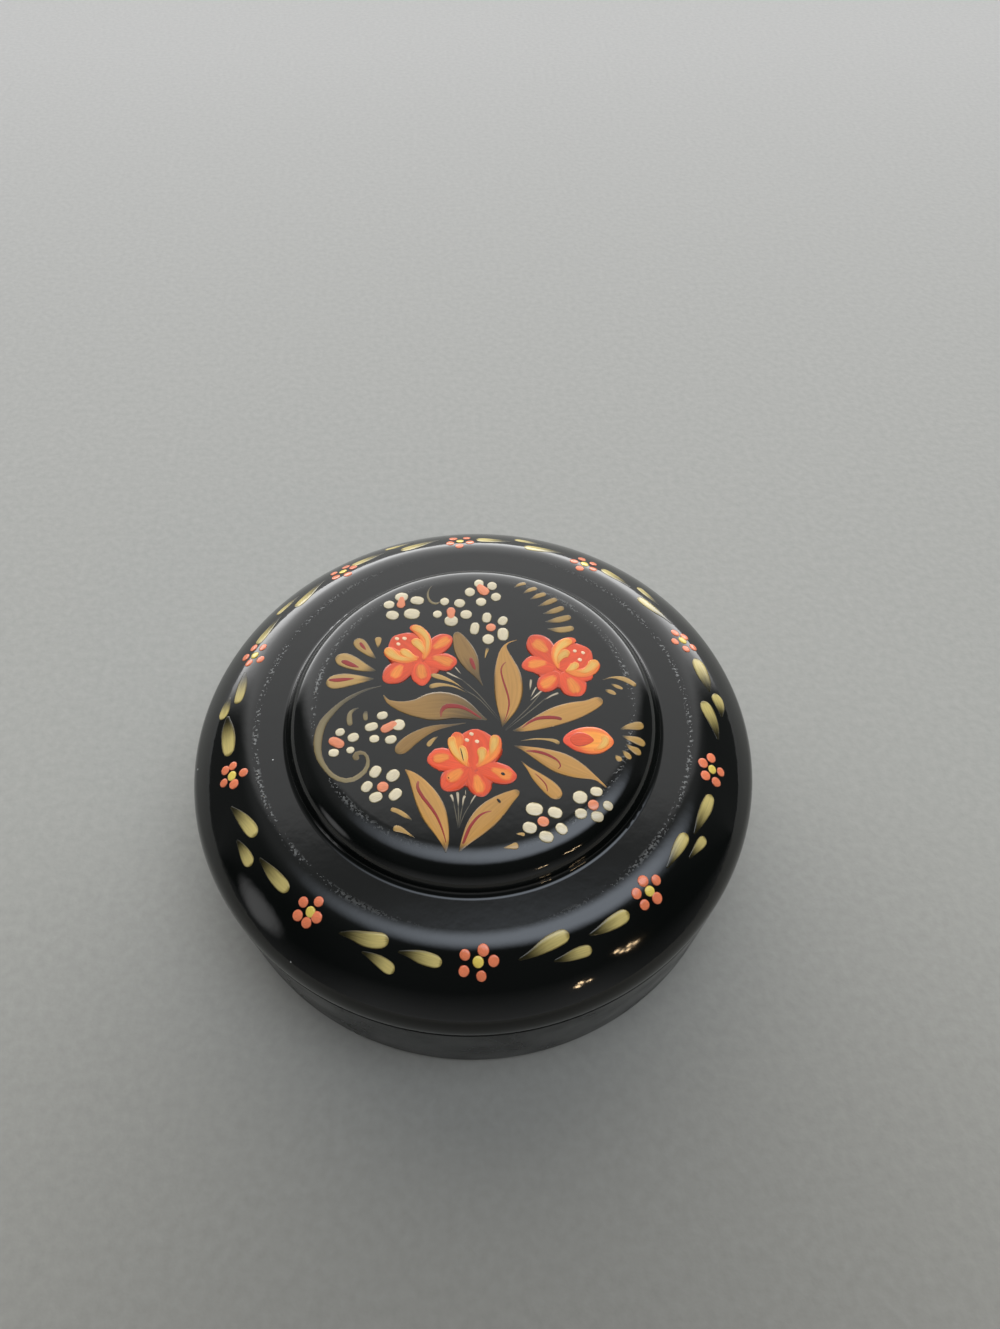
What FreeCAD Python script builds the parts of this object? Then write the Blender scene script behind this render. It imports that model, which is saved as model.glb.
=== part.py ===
import FreeCAD, Part
import os
from math import cos, radians, sin
from FreeCAD import Vector

# Round lacquered papier-mache box with a lift-off lid. Millimetres, +Z up.
# The origin is the centre of the flat underside, and every piece is turned about Z.

# Outside of the closed box
outer_radius = 40.0         # base wall and lower edge of the lid, turned flush
base_height = 16.0          # underside to the top edge of the base wall
seam_gap = 0.3              # shadow line where the lid sits above the base wall

# Outline of the lid, from its lower edge inwards. A tilt is the slope of the surface in degrees.
skirt_height = 0.55         # straight edge below the shoulder
skirt_round = 4.0           # tight turn at the foot of the shoulder
shoulder_round = 18.4       # broad cushion of the shoulder
shoulder_edge_round = 7.0   # soft start of the shoulder beside the flat ring
shoulder_tilt = 47
shoulder_edge_tilt = 23
ring_width = 3.5            # flat ring between the shoulder and the raised centre
foot_cove = 1.0             # hollow where the raised centre meets the ring
plateau_side_round = 4.2    # side of the raised centre
plateau_edge_round = 7.0    # soft edge of the raised centre
plateau_side_tilt = 70
plateau_edge_tilt = 18

# Base: wound wall and the disc glued up into its rebate
wall_thickness = 2.6
wall_foot_round = 1.0       # lower outer corner of the wall
wall_lip_round = 0.35       # upper outer corner of the wall
floor_thickness = 2.4
floor_rebate = 1.2          # how far the disc reaches in under the wall
glue_line = 0.05            # glue film round a glued-in piece

# Inner collar: thin wound ring glued inside the wall, which the lid slides over
collar_thickness = 1.5
collar_rise = 2.6           # how far it stands proud of the base wall
collar_lead = 0.5           # rounded top corners, so that the lid finds its way on

# Lid: wound ring below, pressed top plate glued on it
lid_clearance = 0.2         # between the collar and the bore of the lid ring
lid_ring_height = 3.0
lid_ring_edge_round = 0.35  # lower corners of the lid ring
lid_thickness = 3.0         # pressed plate, even all over
lid_land_width = 1.0        # land of the plate that reaches in past the collar
lid_inner_round = 1.2       # corners of the hollow under the lid

level = 0
upright = 90
full_turn = 360

# Each bend of the lid's outline: its radius, minus for a hollow one, and its first and last tilt
plateau_bends = [
    (plateau_edge_round, level, plateau_edge_tilt),
    (plateau_side_round, plateau_edge_tilt, plateau_side_tilt),
    (-foot_cove, plateau_side_tilt, level),
]
shoulder_bends = [
    (shoulder_edge_round, level, shoulder_edge_tilt),
    (shoulder_round, shoulder_edge_tilt, shoulder_tilt),
    (skirt_round, shoulder_tilt, upright),
]


def point(radius, height):
    return Vector(radius, 0, height)


def outward(tilt):
    """Direction that a surface of this tilt faces."""
    return point(sin(radians(tilt)), cos(radians(tilt)))


def span(bends):
    """How far a run of bends goes outwards, and down as a negative height."""
    reach = Vector()
    for radius, first, last in bends:
        reach += (outward(last) - outward(first)) * radius
    return reach


# Heights and radii that follow from the sizes above
lid_edge_height = base_height + seam_gap
ring_height = lid_edge_height + skirt_height - span(shoulder_bends).z
top_height = ring_height - span(plateau_bends).z
seat_height = lid_edge_height + lid_ring_height
collar_height = base_height + collar_rise
shoulder_radius = outer_radius - span(shoulder_bends).x
plateau_radius = shoulder_radius - ring_width
plateau_flat_radius = plateau_radius - span(plateau_bends).x
wall_bore_radius = outer_radius - wall_thickness
rebate_radius = wall_bore_radius + floor_rebate
collar_radius = wall_bore_radius - glue_line
collar_bore_radius = collar_radius - collar_thickness
lid_bore_radius = collar_radius + lid_clearance
lid_cavity_radius = collar_bore_radius - lid_land_width
ring_under_height = ring_height - lid_thickness
plateau_under_height = top_height - lid_thickness
plateau_hollow_radius = plateau_radius - foot_cove - lid_thickness


def bent(start, bends):
    """Arcs that follow each other from a start point, each going on where the last one ends."""
    arcs = []
    for radius, first, last in bends:
        centre = start - outward(first) * radius
        end = centre + outward(last) * radius
        middle = centre + outward((first + last) / 2) * radius
        arcs.append(Part.Arc(start, middle, end).toShape())
        start = end
    return arcs


def section(corners):
    """Flat face from corners of radius, height and rounding; a rounded corner is square."""
    places = [point(radius, height) for radius, height, bend in corners]
    edges = []
    stops = []
    for number, (radius, height, bend) in enumerate(corners):
        here = places[number]
        after = places[(number + 1) % len(places)]
        start = here + (places[number - 1] - here).normalize() * bend
        end = here + (after - here).normalize() * bend
        if bend:
            centre = start + end - here
            middle = centre + (here - centre).normalize() * bend
            edges.append(Part.Arc(start, middle, end).toShape())
        stops.append((start, end))
    for number, (start, end) in enumerate(stops):
        edges.append(Part.LineSegment(stops[number - 1][1], start).toShape())
    return Part.Face(Part.Wire(Part.__sortEdges__(edges)))


def turned(face):
    """Solid of revolution about Z from one face."""
    return face.Faces[0].revolve(Vector(), Vector(0, 0, 1), full_turn)


def lid_section():
    """Everything under the lid's outline, down to its lower edge."""
    flat_end = point(plateau_flat_radius, top_height)
    foot = point(plateau_radius, ring_height)
    shoulder = point(shoulder_radius, ring_height)
    skirt = point(outer_radius, lid_edge_height + skirt_height)
    edge = point(outer_radius, lid_edge_height)
    runs = [(point(0, top_height), flat_end), (foot, shoulder), (skirt, edge),
            (edge, point(0, lid_edge_height)), (point(0, lid_edge_height), point(0, top_height))]
    edges = [Part.LineSegment(start, end).toShape() for start, end in runs]
    edges += bent(flat_end, plateau_bends) + bent(shoulder, shoulder_bends)
    return Part.Face(Part.Wire(Part.__sortEdges__(edges)))


def base_wall():
    return turned(section([
        (rebate_radius, 0, 0),
        (outer_radius, 0, wall_foot_round),
        (outer_radius, base_height, wall_lip_round),
        (wall_bore_radius, base_height, 0),
        (wall_bore_radius, floor_thickness, 0),
        (rebate_radius, floor_thickness, 0),
    ]))


def base_floor():
    return Part.makeCylinder(rebate_radius - glue_line, floor_thickness)


def inner_collar():
    return turned(section([
        (collar_bore_radius, floor_thickness, 0),
        (collar_radius, floor_thickness, 0),
        (collar_radius, collar_height, collar_lead),
        (collar_bore_radius, collar_height, collar_lead),
    ]))


def lid_ring():
    blank = section([
        (lid_bore_radius, lid_edge_height, lid_ring_edge_round),
        (outer_radius, lid_edge_height, lid_ring_edge_round),
        (outer_radius, seat_height, 0),
        (lid_bore_radius, seat_height, 0),
    ])
    return turned(lid_section().common(blank))


def lid_top():
    below = section([
        (0, lid_edge_height, 0),
        (outer_radius, lid_edge_height, 0),
        (outer_radius, seat_height, 0),
        (lid_cavity_radius, seat_height, 0),
        (lid_cavity_radius, ring_under_height, lid_inner_round),
        (plateau_hollow_radius, ring_under_height, lid_inner_round),
        (plateau_hollow_radius, plateau_under_height, lid_inner_round),
        (0, plateau_under_height, 0),
    ])
    return turned(lid_section().cut(below))


pieces = {
    "base_wall": base_wall(),
    "base_floor": base_floor(),
    "inner_collar": inner_collar(),
    "lid_ring": lid_ring(),
    "lid_top": lid_top(),
}

os.makedirs("parts", exist_ok=True)
for name, shape in pieces.items():
    shape.exportStep(os.path.join("parts", name + ".step"))
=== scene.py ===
import random
from bisect import bisect_right
from math import cos, hypot, pi, radians, sin, sqrt

import bmesh
import bpy
from mathutils import Matrix, Quaternion, Vector
from mathutils.bvhtree import BVHTree


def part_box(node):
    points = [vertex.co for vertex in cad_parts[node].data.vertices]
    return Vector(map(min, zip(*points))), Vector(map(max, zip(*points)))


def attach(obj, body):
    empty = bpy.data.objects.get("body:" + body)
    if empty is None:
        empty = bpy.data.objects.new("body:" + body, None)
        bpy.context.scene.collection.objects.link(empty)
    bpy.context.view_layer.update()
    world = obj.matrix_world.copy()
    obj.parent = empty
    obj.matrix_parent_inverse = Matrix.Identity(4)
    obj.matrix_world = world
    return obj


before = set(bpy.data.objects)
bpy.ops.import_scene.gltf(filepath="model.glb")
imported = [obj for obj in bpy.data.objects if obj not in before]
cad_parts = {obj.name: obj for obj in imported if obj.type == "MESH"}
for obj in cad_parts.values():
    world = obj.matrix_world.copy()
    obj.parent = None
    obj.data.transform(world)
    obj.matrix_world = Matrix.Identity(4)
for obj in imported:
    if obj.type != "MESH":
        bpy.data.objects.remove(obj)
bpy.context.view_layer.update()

mm = 0.001
full_turn = 2 * pi


# The view: a small box looked down on from its front, close by.
# Pixels are those of the photograph; the camera is set out from the centre of the box's underside.
photo_width = 1000
photo_height = 1329
focal_pixels = 840
underside_centre_pixel = (476.64, 792.94)
view_elevation = radians(63.891)
view_distance = 138.56 * mm
view_roll = radians(-2.196)
sensor_width = 36
nearest_view = 10 * mm


def sight_line(pixel):
    """Direction through a pixel in the camera's own axes."""
    across, down = pixel
    return Vector((across - photo_width / 2, photo_height / 2 - down, -focal_pixels)).normalized()


toward_box = Vector((0, cos(view_elevation), -sin(view_elevation)))
straight_view = toward_box.to_track_quat("-Z", "Y")
centre_line = sight_line(underside_centre_pixel)
view_swing = Vector((0, 0, -1)).rotation_difference(centre_line)
view_turn = straight_view @ (Quaternion(centre_line, view_roll) @ view_swing).inverted()

camera = bpy.data.objects.new("camera", bpy.data.cameras.new("camera"))
bpy.context.scene.collection.objects.link(camera)
camera.rotation_mode = "QUATERNION"
camera.rotation_quaternion = view_turn
camera.location = toward_box * -view_distance
camera.data.sensor_width = sensor_width
camera.data.lens = focal_pixels * sensor_width / photo_height
camera.data.clip_start = nearest_view
bpy.context.scene.camera = camera
bpy.context.scene.view_settings.view_transform = "Standard"


# Table: a pale matt top, coloured lighter towards the window behind the box as painted window light,
# with a fine grain that a camera close by just picks up, and a painted shadow of the box in front of it.
table_size = 16.0
# Painted window light: the top's colour lightens from the front of the box towards the window
table_window_light_colors = [(-0.12, (0.355, 0.338, 0.292)), (0.0, (0.43, 0.42, 0.378)), (0.30, (0.54, 0.522, 0.487))]
table_near = table_window_light_colors[0][0]
table_far = table_window_light_colors[-1][0]
table_roughness = 0.7
table_shine = 0.2
grain_scale = 700
grain_detail = 4
grain_darkest = 0.88
grain_palest = 1.12
grain_strength = 0.3
grain_height = 0.2 * mm
# Painted shadow of the box on the top: its middle, reach and depth
painted_shadow_middle = (0, -0.09, 0)
painted_shadow_radius = 0.14
painted_shadow_depth_share = 0.36


def feed(node, inputs):
    """Set a node's inputs to values, or link them to other nodes' outputs."""
    for socket, value in inputs.items():
        if isinstance(value, bpy.types.NodeSocket):
            node.id_data.links.new(value, node.inputs[socket])
        else:
            node.inputs[socket].default_value = value


def node_adder(tree):
    """Function that adds a shader node to a tree, with its inputs and settings."""
    def add(kind, inputs, **settings):
        node = tree.nodes.new("ShaderNode" + kind)
        for name, value in settings.items():
            setattr(node, name, value)
        feed(node, inputs)
        return node

    return add


def math_adder(add):
    """Function that adds a math node and gives its result."""
    def work(operation, *values):
        return add("Math", dict(enumerate(values)), operation=operation).outputs[0]

    return work


def mixed(add, kind, share, first, second):
    """Colour mixed of two, each of which is a colour or another node's output."""
    colors = [(*color, 1) if isinstance(color, tuple) else color for color in (first, second)]
    inputs = {"Factor": share, "A": colors[0], "B": colors[1]}
    return add("Mix", inputs, data_type="RGBA", blend_type=kind).outputs["Result"]


def ramp_color(add, share, stops):
    """Colour by a share, from stops (share, colour)."""
    ramp = add("ValToRGB", {"Fac": share})
    elements = ramp.color_ramp.elements
    elements.remove(elements[1])
    for number, (position, color) in enumerate(stops):
        stop = elements.new(position) if number else elements[0]
        stop.position = position
        stop.color = (*color, 1)
    return ramp.outputs["Color"]


def shader_material(name):
    """New material, what adds a node or a math node to it, and its Principled shader."""
    material = bpy.data.materials.new(name)
    material.use_nodes = True
    add = node_adder(material.node_tree)
    return material, add, math_adder(add), material.node_tree.nodes["Principled BSDF"]


def table_material():
    material, add, work, shader = shader_material("table_top")
    place = add("TexCoord", {}).outputs["Object"]
    axes = add("SeparateXYZ", {0: place})
    # Painted window light: the top is coloured lighter from the front towards the window behind the box
    depth = add("MapRange", {"Value": axes.outputs["Y"], "From Min": table_near, "From Max": table_far})
    stops = [((reach - table_near) / (table_far - table_near), color) for reach, color in table_window_light_colors]
    painted_window_light = ramp_color(add, depth.outputs["Result"], stops)
    grain = add("TexNoise", {"Vector": place, "Scale": grain_scale, "Detail": grain_detail}).outputs["Fac"]
    mottle = add("MapRange", {"Value": grain, "To Min": grain_darkest, "To Max": grain_palest})
    # Painted shadow of the box: the top is coloured darker in a patch in front of it
    away = add("VectorMath", {0: place, 1: painted_shadow_middle}, operation="DISTANCE").outputs["Value"]
    painted_shadow = add("MapRange", {"Value": away, "From Max": painted_shadow_radius, "To Min": 1 - painted_shadow_depth_share},
                interpolation_type="SMOOTHSTEP")
    shadow_and_grain = work("MULTIPLY", painted_shadow.outputs["Result"], mottle.outputs["Result"])
    bump = add("Bump", {"Strength": grain_strength, "Distance": grain_height, "Height": grain})
    feed(shader, {
        "Base Color": mixed(add, "MULTIPLY", 1, painted_window_light, shadow_and_grain),
        "Normal": bump.outputs["Normal"],
        "Roughness": table_roughness,
        "Specular IOR Level": table_shine,
    })
    return material


table_mesh = bpy.data.meshes.new("table_top")
shape = bmesh.new()
bmesh.ops.create_grid(shape, x_segments=1, y_segments=1, size=table_size / 2)
shape.to_mesh(table_mesh)
shape.free()
table_mesh.materials.append(table_material())
table = bpy.data.objects.new("table_top", table_mesh)
bpy.context.scene.collection.objects.link(table)


# Light of the room: a tall window behind the box, brightest low down, a soft light on the ceiling over
# it, a dim room to the sides and behind the camera with one soft light low at the left, and small warm
# bulbs in front at the right. Levels go by the angle in degrees, from the window's sill up and over.
window_edge = radians(50)
window_edge_blur = radians(8)
window_top = radians(67)
window_top_blur = radians(2.5)
window_levels = [(0, 5.2), (6, 4.8), (12, 3.0), (20, 2.2), (34, 1.7), (48, 1.35), (58, 0.95), (66, 0.75)]
ceiling_light_centre = (0.30, -0.05)
ceiling_light_radii = (0.72, 0.30)
ceiling_light_level = 3.4
ceiling_light_blur = (0.3, 1.45)
ceiling_light_color = (0.88, 0.97, 1.1)
ceiling_lowest = 0.05
dim_levels = [(0, 0.24), (50, 0.30), (66, 0.34), (77, 0.32), (95, 0.18), (118, 0.06), (150, 0.05),
              (172, 0.36), (180, 0.45)]
side_start = 0.45
side_end = 0.8
side_dimming_share = 0.65
side_light_place = (-0.93, -0.30, 0.22)
side_light_blur = radians(11)
side_light_level = 1.1
wall_color = (0.60, 0.60, 0.585)

room = bpy.data.worlds.new("room")
room.use_nodes = True
bpy.context.scene.world = room
room_node = node_adder(room.node_tree)
room_math = math_adder(room_node)


def fade(add, value, start, end):
    """Soft step from 0 at start to 1 at end."""
    inputs = {"Value": value, "From Min": start, "From Max": end}
    return add("MapRange", inputs, interpolation_type="SMOOTHSTEP").outputs["Result"]


def rest_of(share):
    return room_math("SUBTRACT", 1.0, share)


def room_ramp(half_turns, levels):
    """Light level by an angle of 0 to 180 degrees, given in half turns."""
    peak = max(level for angle, level in levels)
    stops = [(angle / 180, (level / peak,) * 3) for angle, level in levels]
    return room_math("MULTIPLY", ramp_color(room_node, half_turns, stops), peak)


facing = room_node("TexCoord", {}).outputs["Generated"]
right, back, up = room_node("SeparateXYZ", {0: facing}).outputs
turn_over = room_math("ARCTAN2", up, back)
half_turns = room_math("DIVIDE", turn_over, pi)
aside = room_math("ABSOLUTE", room_math("ARCTAN2", right, back))
beside_window = fade(room_node, aside, window_edge - window_edge_blur, window_edge + window_edge_blur)
over_window = fade(room_node, turn_over, window_top - window_top_blur, window_top + window_top_blur)
window_share = room_math("MULTIPLY", rest_of(beside_window), rest_of(over_window))
window_glow = room_math("MULTIPLY", window_share, room_ramp(half_turns, window_levels))

overhead = room_math("MAXIMUM", up, ceiling_lowest)
off_squares = []
for side, centre, radius in zip((right, back), ceiling_light_centre, ceiling_light_radii):
    off = room_math("SUBTRACT", room_math("DIVIDE", side, overhead), centre)
    off_share = room_math("DIVIDE", off, radius)
    off_squares.append(room_math("MULTIPLY", off_share, off_share))
off_centre = room_math("SQRT", room_math("ADD", *off_squares))
ceiling_share = rest_of(fade(room_node, off_centre, *ceiling_light_blur))
ceiling_glow = room_math("MULTIPLY", ceiling_share, ceiling_light_level)

to_the_side = fade(room_node, room_math("ABSOLUTE", right), side_start, side_end)
dim_share = rest_of(room_math("MULTIPLY", to_the_side, side_dimming_share))
dim_glow = room_math("MULTIPLY", dim_share, room_ramp(half_turns, dim_levels))
side_light_way = Vector(side_light_place).normalized()
near_side_light = room_node("VectorMath", {0: facing, 1: side_light_way}, operation="DOT_PRODUCT")
side_light_share = fade(room_node, near_side_light.outputs["Value"], cos(side_light_blur), 1.0)
side_glow = room_math("MULTIPLY", side_light_share, side_light_level)

plain_glow = room_math("ADD", room_math("ADD", dim_glow, side_glow), window_glow)
tinted_glow = mixed(room_node, "MULTIPLY", 1, ceiling_light_color, ceiling_glow)
room_glow = mixed(room_node, "ADD", 1, plain_glow, tinted_glow)
seen_by_camera = room_node("LightPath", {}).outputs["Is Camera Ray"]
room_color = mixed(room_node, "MIX", seen_by_camera, room_glow, wall_color)
feed(room.node_tree.nodes["Background"], {"Color": room_color})

warm_lamp_size = 0.012
warm_lamp_power = 0.2
warm_lamp_color = (1, 0.72, 0.42)
warm_lamp_places = [
    (0.62, -0.66, 0.43), (0.66, -0.63, 0.44), (0.60, -0.66, 0.47), (0.65, -0.65, 0.40), (0.68, -0.61, 0.41),
    (0.45, -0.83, 0.34), (0.48, -0.81, 0.32), (0.43, -0.84, 0.31),
]
for number, place in enumerate(warm_lamp_places):
    bulb = bpy.data.lights.new("warm_lamp", "POINT")
    bulb.shadow_soft_size = warm_lamp_size
    bulb.energy = warm_lamp_power
    bulb.color = warm_lamp_color
    bulb_lamp = bpy.data.objects.new("warm_lamp_" + str(number), bulb)
    bulb_lamp.location = place
    bpy.context.scene.collection.objects.link(bulb_lamp)


# Base: a wound papier-mache wall, rounded at its foot and lip, with the floor disc glued up into its
# rebate and a thin collar glued inside for the lid. It is primed, dipped in black lacquer outside and
# warm red inside, and polished.
lacquer_thickness = 0.05 * mm
lacquer_bite = 0.03 * mm
coat_steps = 192
bend_step = radians(3)
seam_merge = 0.002 * mm


def outline_place(runs, start, distance):
    """Radius, height and tilt at a distance along an outline of runs (length, first tilt, last tilt)."""
    radius, height = start
    tilt = 0
    for length, first, last in runs:
        here = min(distance, length)
        if first == last:
            tilt = first
            radius += here * cos(tilt)
            height -= here * sin(tilt)
        else:
            tilt = first + (last - first) * here / length
            bend = length / (last - first)
            radius += bend * (sin(tilt) - sin(first))
            height -= bend * (cos(first) - cos(tilt))
        distance -= here
        if distance <= 0:
            break
    return radius, height, tilt


def straight_run(length, tilt):
    return length, radians(tilt), radians(tilt)


def bend_run(radius, first, last):
    """Bend of an outline; a hollow one has falling tilts."""
    return abs(radius * radians(last - first)), radians(first), radians(last)


def run_stops(runs):
    """Distances along an outline that follow its bends closely."""
    stops = [0]
    for length, first, last in runs:
        if length > 0:
            count = max(1, round(abs(last - first) / bend_step))
            stops += [stops[-1] + length * (number + 1) / count for number in range(count)]
    return stops


def spun_coat(name, runs, start, body, material):
    """Thin closed skin of lacquer, turned about Z along an outline."""
    shape = bmesh.new()
    chain = []
    for distance in run_stops(runs):
        radius, height, tilt = outline_place(runs, start, distance)
        place = (max(0, radius + sin(tilt) * lacquer_thickness), 0, height + cos(tilt) * lacquer_thickness)
        chain.append(shape.verts.new(place))
    edges = [shape.edges.new(pair) for pair in zip(chain, chain[1:])]
    bmesh.ops.spin(shape, geom=chain + edges, cent=(0, 0, 0), axis=(0, 0, 1), angle=full_turn,
                   steps=coat_steps, use_merge=True, use_normal_flip=False, use_duplicate=False)
    bmesh.ops.remove_doubles(shape, verts=shape.verts, dist=seam_merge)
    bmesh.ops.recalc_face_normals(shape, faces=shape.faces)
    for face in shape.faces:
        face.smooth = True
    mesh = bpy.data.meshes.new(name)
    shape.to_mesh(mesh)
    shape.free()
    mesh.materials.append(material)
    coat = bpy.data.objects.new(name, mesh)
    bpy.context.scene.collection.objects.link(coat)
    wall = coat.modifiers.new("thickness", "SOLIDIFY")
    wall.thickness = lacquer_thickness + lacquer_bite
    wall.offset = -1
    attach(coat, body)
    return coat


polish_waves = [(520, 0.011 * mm), (3200, 0.0012 * mm)]
black_color = (0.0032, 0.0040, 0.0035)
red_color = (0.34, 0.03, 0.018)
# Pale grey of dust specks, and of scuffs, where it also stands in as painted glints
dust_and_glint_color = (0.42, 0.42, 0.40)
base_roughness = 0.22
base_shine = 0.15
inside_roughness = 0.2
wear_scale = 120
wear_range = (0.3, 0.7)
wear_gloss_shares = (0.6, 1.5)
dust_scale = 260
dust_size = 0.035
dust_rarity = 0.93
grit_scale = 2600
grit_patch_scale = 170
grit_patch_share = 0.5
grit_limit = 0.84
rubbed_reach = 0.5 * mm
scuff_depth = 0.02 * mm
# How pale the scuffs are drawn: partly scuffed lacquer, partly painted glints
glint_pale_share = 0.5


def polish(add, place):
    """Bump of polished lacquer: a slow orange peel and a finer grain left by rubbing down."""
    normal = None
    for scale, depth in polish_waves:
        peel = add("TexNoise", {"Vector": place, "Scale": scale, "Detail": 2})
        bump = add("Bump", {"Strength": 1, "Distance": depth, "Height": peel.outputs["Fac"]})
        if normal:
            feed(bump, {"Normal": normal})
        normal = bump.outputs["Normal"]
    return normal


def scuff_and_glint_share(add, work, place, rubbed_radii):
    """How far grit has scuffed the lacquer along rubbed edges, most at the sides of the box, where the pale
    scuffs are also painted glints.
    """
    axes = add("SeparateXYZ", {0: place}).outputs
    out = work("SQRT", work("ADD", work("MULTIPLY", axes[0], axes[0]), work("MULTIPLY", axes[1], axes[1])))
    rubbed = 0
    for radius in rubbed_radii:
        away = work("DIVIDE", work("ABSOLUTE", work("SUBTRACT", out, radius)), rubbed_reach)
        rubbed = work("MAXIMUM", rubbed, work("SUBTRACT", 1.0, away))
    # Weighted towards the sides of the box, where the rubbed edges catch the light: a painted glint
    glint_side_share = work("DIVIDE", work("ABSOLUTE", axes[0]), out)
    worn_and_glinting = work("MULTIPLY", rubbed, work("MULTIPLY", glint_side_share, glint_side_share))
    grit = add("TexNoise", {"Vector": place, "Scale": grit_scale, "Detail": 1}).outputs["Fac"]
    patches = add("TexNoise", {"Vector": place, "Scale": grit_patch_scale}).outputs["Fac"]
    grain = work("ADD", grit, work("MULTIPLY", patches, grit_patch_share))
    return work("MULTIPLY", worn_and_glinting, work("GREATER_THAN", grain, grit_limit))


def lacquer_material(name, color, roughness, shine=0.5, rubbed_radii=()):
    """Polished lacquer with dust specks, scuffed along the edges that a cloth rubs most, with painted glints
    on those scuffs.
    """
    material, add, work, shader = shader_material(name)
    place = add("TexCoord", {}).outputs["Object"]
    normal = polish(add, place)
    wear = add("TexNoise", {"Vector": place, "Scale": wear_scale, "Detail": 4})
    gloss = add("MapRange", {
        "Value": wear.outputs["Fac"],
        "From Min": wear_range[0],
        "From Max": wear_range[1],
        "To Min": roughness * wear_gloss_shares[0],
        "To Max": roughness * wear_gloss_shares[1],
    })
    dust = add("TexVoronoi", {"Vector": place, "Scale": dust_scale}).outputs
    pick = add("SeparateColor", {0: dust["Color"]}).outputs[0]
    dust_and_glint_specks = work("MULTIPLY", work("LESS_THAN", dust["Distance"], dust_size),
                  work("GREATER_THAN", pick, dust_rarity))
    # Pale scuffs: partly scuffed lacquer, partly painted glints that show at the sides of the box
    if rubbed_radii:
        scuffs_and_glints = scuff_and_glint_share(add, work, place, rubbed_radii)
        dust_and_glint_specks = work("MAXIMUM", dust_and_glint_specks, work("MULTIPLY", scuffs_and_glints, glint_pale_share))
        scuff = add("Bump", {"Distance": scuff_depth, "Height": scuffs_and_glints, "Normal": normal})
        normal = scuff.outputs["Normal"]
    feed(shader, {
        "Base Color": mixed(add, "MIX", dust_and_glint_specks, color, dust_and_glint_color),
        "Roughness": gloss.outputs["Result"],
        "Specular IOR Level": shine,
        "Normal": normal,
    })
    return material


base_black = lacquer_material("base_black_lacquer", black_color, base_roughness, base_shine)
red_lacquer = lacquer_material("red_lacquer", red_color, inside_roughness)

wall_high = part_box("base_wall")[1]
collar_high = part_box("inner_collar")[1]
outer_radius = wall_high.x
base_height = wall_high.z
floor_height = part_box("base_floor")[1].z
collar_radius = collar_high.x
collar_height = collar_high.z
wall_thickness = 2.6 * mm
wall_foot_round = 1.0 * mm
wall_lip_round = 0.35 * mm
collar_thickness = 1.5 * mm
collar_lead = 0.5 * mm
floor_fillet = 0.4 * mm
lip_gap = 0.1 * mm

base_black_runs = [
    straight_run(wall_thickness - wall_lip_round, 0),
    bend_run(wall_lip_round, 0, 90),
    straight_run(base_height - wall_lip_round - wall_foot_round, 90),
    bend_run(wall_foot_round, 90, 180),
    straight_run(outer_radius - wall_foot_round, 180),
]
spun_coat("base_black_coat", base_black_runs, (outer_radius - wall_thickness, base_height),
          "base", base_black)

collar_bore = collar_radius - collar_thickness
base_red_runs = [
    straight_run(collar_bore - floor_fillet, 0),
    bend_run(floor_fillet, 0, -90),
    straight_run(collar_height - collar_lead - floor_height - floor_fillet, -90),
    bend_run(collar_lead, -90, 0),
    straight_run(collar_thickness - 2 * collar_lead, 0),
    bend_run(collar_lead, 0, 90),
    straight_run(collar_height - collar_lead - base_height - lip_gap, 90),
]
spun_coat("base_red_coat", base_red_runs, (0, floor_height), "base", red_lacquer)

for node, material in [("base_wall", base_black), ("base_floor", red_lacquer),
                       ("inner_collar", red_lacquer)]:
    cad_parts[node].data.materials.clear()
    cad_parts[node].data.materials.append(material)


# Lid: a pressed top plate glued on a wound ring and turned to a raised centre, a flat ring and a
# cushion-like shoulder. Black lacquer outside, rubbed thin where the raised centre and the shoulder
# begin, with pale painted glints on those rubbed edges at the sides, and red lacquer inside.
ring_low, ring_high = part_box("lid_ring")
lid_edge_height = ring_low.z
seat_height = ring_high.z
top_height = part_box("lid_top")[1].z
skirt_height = 0.55 * mm
skirt_round = 4.0 * mm
shoulder_round = 18.4 * mm
shoulder_edge_round = 7.0 * mm
shoulder_tilt = 47
shoulder_edge_tilt = 23
ring_width = 3.5 * mm
foot_cove = 1.0 * mm
plateau_side_round = 4.2 * mm
plateau_edge_round = 7.0 * mm
plateau_side_tilt = 70
plateau_edge_tilt = 18
lid_clearance = 0.2 * mm
lid_edge_round = 0.35 * mm
lid_thickness = 3.0 * mm
lid_land_width = 1.0 * mm
lid_inner_round = 1.2 * mm
lid_roughness = 0.065
plateau_rub_out = 0.9 * mm

plateau_bends = [
    bend_run(plateau_edge_round, 0, plateau_edge_tilt),
    bend_run(plateau_side_round, plateau_edge_tilt, plateau_side_tilt),
    bend_run(foot_cove, plateau_side_tilt, 0),
]
ring_run = straight_run(ring_width, 0)
shoulder_bends = [
    bend_run(shoulder_edge_round, 0, shoulder_edge_tilt),
    bend_run(shoulder_round, shoulder_edge_tilt, shoulder_tilt),
    bend_run(skirt_round, shoulder_tilt, 90),
]
lid_bends = [*plateau_bends, ring_run, *shoulder_bends]
bends_length = sum(run[0] for run in lid_bends)
plateau_flat_radius = outer_radius - outline_place(lid_bends, (0, 0), bends_length)[0]
lid_bore = collar_radius + lid_clearance
lid_black_runs = [
    straight_run(plateau_flat_radius, 0),
    *lid_bends,
    straight_run(skirt_height - lid_edge_round, 90),
    bend_run(lid_edge_round, 90, 180),
    straight_run(outer_radius - lid_bore - 2 * lid_edge_round, 180),
]
lid_start = (0, top_height)
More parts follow.
